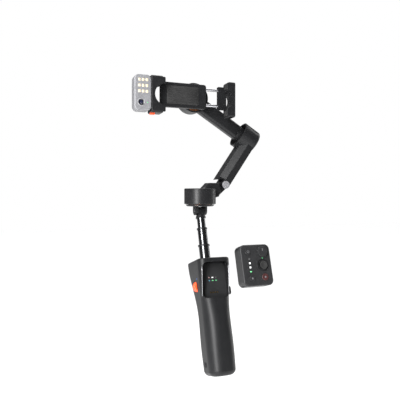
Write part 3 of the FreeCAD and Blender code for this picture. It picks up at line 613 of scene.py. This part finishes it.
def tracker_details():
    """Nine warm windows, the green lamp, and the lens with its ring and glass."""
    parts = sorted(loose_parts("tracker_lights", CLAMP), key=lambda part: (part[1] - part[0]).x)
    lamp_low, lamp_high = parts[0]
    for i, (low, high) in enumerate(sorted(parts[1:], key=lambda part: (-part[0].z, part[0].x))):
        name = f"light_window_{i + 1}"
        middle = (low + high) / 2
        size = (high - low) / MM
        mesh = tile_mesh(name, size.x, size.z, size.y - 0.05, 0.7, 0.08)
        place = at(CLAMP, middle.x, high.y, middle.z)
        piece = finish_piece(name, mesh, place, "tracker", "warm_light")
        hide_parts("tracker_lights")
        chip = tile_mesh(name + "_chip", 1.5, 1.7, 0.06, 0.4)
        place = at(CLAMP, middle.x, low.y - 0.02 * MM, middle.z)
        finish_piece(name + "_chip", chip, place, "tracker", "warm_light", "warm_core")
    middle = (lamp_low + lamp_high) / 2
    depth = (lamp_high.y - lamp_low.y) / MM
    profile = [(0, 0), (0.58, 0), (0.58, depth - 0.25), (0.4, depth - 0.05), (0, depth)]
    place = at(CLAMP, middle.x, lamp_high.y, middle.z) @ LATHE_FRONT
    piece = finish_piece(
        "tracker_lamp", lathe_mesh("tracker_lamp", profile, 24), place, "tracker", "warm_light",
        "glow_green",
    )
    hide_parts("tracker_lights")
    low, high = local_box("tracker_lens", CLAMP)
    middle = (low + high) / 2
    eye = at(CLAMP, middle.x, local_box("tracker_face", CLAMP)[0].y, middle.z) @ LATHE_FRONT
    bezel = closed_lathe("lens_bezel", ring_profile(4.1, 0.65, -0.3, 0.22), 64)
    finish_piece("lens_bezel", bezel, eye, "tracker", "steel", "trim_and_painted_highlight")
    barrel = lathe_mesh("lens_barrel", LENS_BARREL, 64)
    piece = finish_piece("lens_barrel", barrel, eye, "tracker", "lens_dark")
    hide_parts("tracker_lens")
    glass = lathe_mesh("lens_glass", LENS_GLASS, 48)
    finish_piece("lens_glass", glass, eye, "tracker", "lens_dark", "lens_coated")


# ------------------------------------------------------------------- remote


def button_print(node, kind):
    """A small printed mark on a button's top."""
    low, high = local_box(node, HANDLE)
    middle = (low + high) / 2
    place = at(HANDLE, middle.x, low.y, middle.z) @ LATHE_FRONT
    if kind == "dot":
        mesh = lathe_mesh(node + "_mark", [(0, -0.02), (0.8, -0.02), (0.8, 0.05), (0, 0.06)], 32)
    else:
        mesh = closed_lathe(node + "_mark", ring_profile(1.1, 0.28, -0.02, 0.05), 40)
    finish_piece(node + "_mark", mesh, place, node, "gloss_black", "print_grey")


def remote_details():
    """The remote's lights, marks, knob cap, joystick cap and joystick collar."""
    front = local_box("remote_face", HANDLE)[0].y
    colours = ("glow_dim", "glow_white", "glow_white", "glow_green")
    parts = sorted(loose_parts("remote_lights", HANDLE), key=lambda part: -part[0].z)
    for i, ((part_low, part_high), colour) in enumerate(zip(parts, colours)):
        name = f"remote_light_{i + 1}"
        wide, tall = (1.9, 1.1) if colour == "glow_green" else (1.5, 1.4)
        mesh = tile_mesh(name, wide, tall, 0.6, 0.4)
        middle = (part_low + part_high) / 2
        place = at(HANDLE, middle.x, front + 0.5 * MM, middle.z)
        piece = finish_piece(name, mesh, place, "remote", "lamp_clear", colour)
        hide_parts("remote_lights")
    button_print("mode_button", "ring")
    button_print("switch_button", "dot")
    button_print("record_button", "dot")

    knob_low, knob_high = local_box("zoom_knob", HANDLE)
    centre = (knob_low + knob_high) / 2
    mark = tile_mesh("knob_mark", 0.9, 0.9, 0.06, 0.25)
    place = at(HANDLE, centre.x, front, knob_low.z - 0.9 * MM)
    finish_piece("knob_mark", mark, place, "remote", "lamp_clear", "glow_green")
    profile = [(0, -0.15), (3.5, -0.15), (3.5, 0.1), (3.2, 0.18), (2.6, 0.02), (0, -0.12)]
    place = at(HANDLE, centre.x, knob_low.y, centre.z) @ LATHE_FRONT
    finish_piece("knob_cap", lathe_mesh("knob_cap", profile, 64), place, "zoom_knob",
                 "gloss_black")
    bar = tile_mesh("knob_pointer", 0.6, 2.0, 0.1, 0.25)
    place = at(HANDLE, centre.x, knob_low.y - 0.02 * MM, centre.z + 1.5 * MM)
    finish_piece("knob_pointer", bar, place, "zoom_knob", "gloss_black", "print_grey")

    stick_low, stick_high = local_box("joystick", HANDLE)
    centre = (stick_low + stick_high) / 2
    profile = [(0, -1.2), (1.25, -1.2), (1.3, -0.6), (3.2, -0.9), (3.6, -0.45), (3.5, 0.0),
               (3.0, 0.12), (2.3, -0.05), (1.2, -0.28), (0, -0.34)]
    place = at(HANDLE, centre.x, stick_low.y, centre.z) @ LATHE_FRONT
    stem = [(0, -4.4), (1.3, -4.4), (1.3, -1.0), (0, -1.0)]
    piece = finish_piece("joystick_cap", lathe_mesh("joystick_cap", profile, 64), place,
                         "joystick", "gloss_black", "rubber_black")
    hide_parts("joystick")
    piece = finish_piece("joystick_stem", lathe_mesh("joystick_stem", stem, 40), place,
                         "joystick", "gloss_black")
    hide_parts("joystick")
    collar = closed_lathe("joystick_collar", ring_profile(5.75, 0.4, -0.1, 0.12), 64)
    place = at(HANDLE, centre.x, front, centre.z) @ LATHE_FRONT
    finish_piece("joystick_collar", collar, place, "remote", "gloss_black")


indicator_pieces()
dock_edge_highlight()
cap_seam_shade()
head_details()
clamp_details()
pad_ribs()
tracker_details()
remote_details()

SOFT_EDGES = {
    "arm_shell": 0.5, "arm_cover": 0.2, "tilt_arm": 0.4, "tilt_housing": 0.3,
    "roll_housing": 0.3, "pan_housing": 0.3, "neck_fork": 0.25, "neck_knuckle": 0.2,
    "left_jaw": 0.3, "right_jaw": 0.3, "clamp_body": 0.2, "top_collar": 0.2,
    "rod_outer_ring": 0.2, "rod_middle_ring": 0.2,
}
for name, width in SOFT_EDGES.items():
    soften(name, width)

# ------------------------------------------------------- floor, light, camera


# metres and degrees, and millimetres for the lens
FLOOR_DROP = 0.30
FLOOR_HALF = 6.0
LIGHT_AIM = (0.0, 0.05, 0.17)
FILL_STRENGTH = 0.11
SUN_STRENGTH = 3.2
SUN_SPREAD = 70
SUN_TILT = -18
CAMERA_LENS = 42.5
CAMERA_AZIMUTH = -21.0
CAMERA_DISTANCE = 0.540
CAMERA_DOWN = 0.73


def studio_floor():
    """A wide pale floor, well below the hand-held object."""
    form = bmesh.new()
    bmesh.ops.create_grid(form, x_segments=8, y_segments=8, size=FLOOR_HALF)
    mesh = bpy.data.meshes.new("studio_floor")
    form.to_mesh(mesh)
    form.free()
    floor = bpy.data.objects.new("studio_floor", mesh)
    floor.location.z = cad_bounds[0][2] - FLOOR_DROP
    mesh.materials.append(MATERIALS["backdrop"])
    bpy.context.scene.collection.objects.link(floor)


def softbox(name, aim, azimuth, elevation, distance, width, height, power):
    """A rectangular area light that faces a point."""
    data = bpy.data.lights.new(name, "AREA")
    data.shape = "RECTANGLE"
    data.size = width
    data.size_y = height
    data.energy = power
    light = bpy.data.objects.new(name, data)
    a = math.radians(azimuth)
    e = math.radians(elevation)
    offset = Vector((math.sin(a) * math.cos(e), -math.cos(a) * math.cos(e), math.sin(e)))
    light.location = Vector(aim) + offset * distance
    light.rotation_euler = (-offset).to_track_quat("-Z", "Y").to_euler()
    bpy.context.scene.collection.objects.link(light)


def lights():
    """A white surround, dim as a lamp, with a tall key, a side strip and a soft top light."""
    world = bpy.data.worlds.new("studio")
    world.use_nodes = True
    tree = world.node_tree
    seen = tree.nodes["Background"]
    seen.inputs["Color"].default_value = (1, 1, 1, 1)
    seen.inputs["Strength"].default_value = 1.0
    fill = tree.nodes.new("ShaderNodeBackground")
    fill.inputs["Color"].default_value = (1, 1, 1, 1)
    fill.inputs["Strength"].default_value = FILL_STRENGTH
    rays = tree.nodes.new("ShaderNodeLightPath")
    mix = tree.nodes.new("ShaderNodeMixShader")
    tree.links.new(rays.outputs["Is Camera Ray"], mix.inputs["Fac"])
    tree.links.new(fill.outputs["Background"], mix.inputs[1])
    tree.links.new(seen.outputs["Background"], mix.inputs[2])
    tree.links.new(mix.outputs["Shader"], tree.nodes["World Output"].inputs["Surface"])
    bpy.context.scene.world = world
    softbox("key", LIGHT_AIM, -46, 16, 1.3, 0.34, 1.4, 48.0)
    softbox("strip_right", LIGHT_AIM, 100, 14, 1.1, 0.2, 1.4, 5.0)
    sky = bpy.data.lights.new("top", "SUN")
    sky.energy = SUN_STRENGTH
    sky.angle = math.radians(SUN_SPREAD)
    light = bpy.data.objects.new("top", sky)
    light.rotation_euler = (math.radians(SUN_TILT), 0, 0)
    bpy.context.scene.collection.objects.link(light)


def camera():
    """A level camera seen from the front left, a little under 0.6 m away."""
    data = bpy.data.cameras.new("camera")
    data.sensor_width = 36.0
    data.lens = CAMERA_LENS
    obj = bpy.data.objects.new("camera", data)
    azimuth = math.radians(CAMERA_AZIMUTH)
    pan = Vector(JOINTS["pan_axis"]["pos_m"])
    away = Vector((math.sin(azimuth), -math.cos(azimuth), 0))
    obj.location = pan + away * CAMERA_DISTANCE
    look = -away
    look.z = -math.tan(math.radians(CAMERA_DOWN))
    obj.rotation_euler = look.to_track_quat("-Z", "Y").to_euler()
    data.clip_start = 0.01
    bpy.context.scene.collection.objects.link(obj)
    bpy.context.scene.camera = obj


studio_floor()
lights()
camera()
bpy.context.scene.view_settings.view_transform = "Standard"
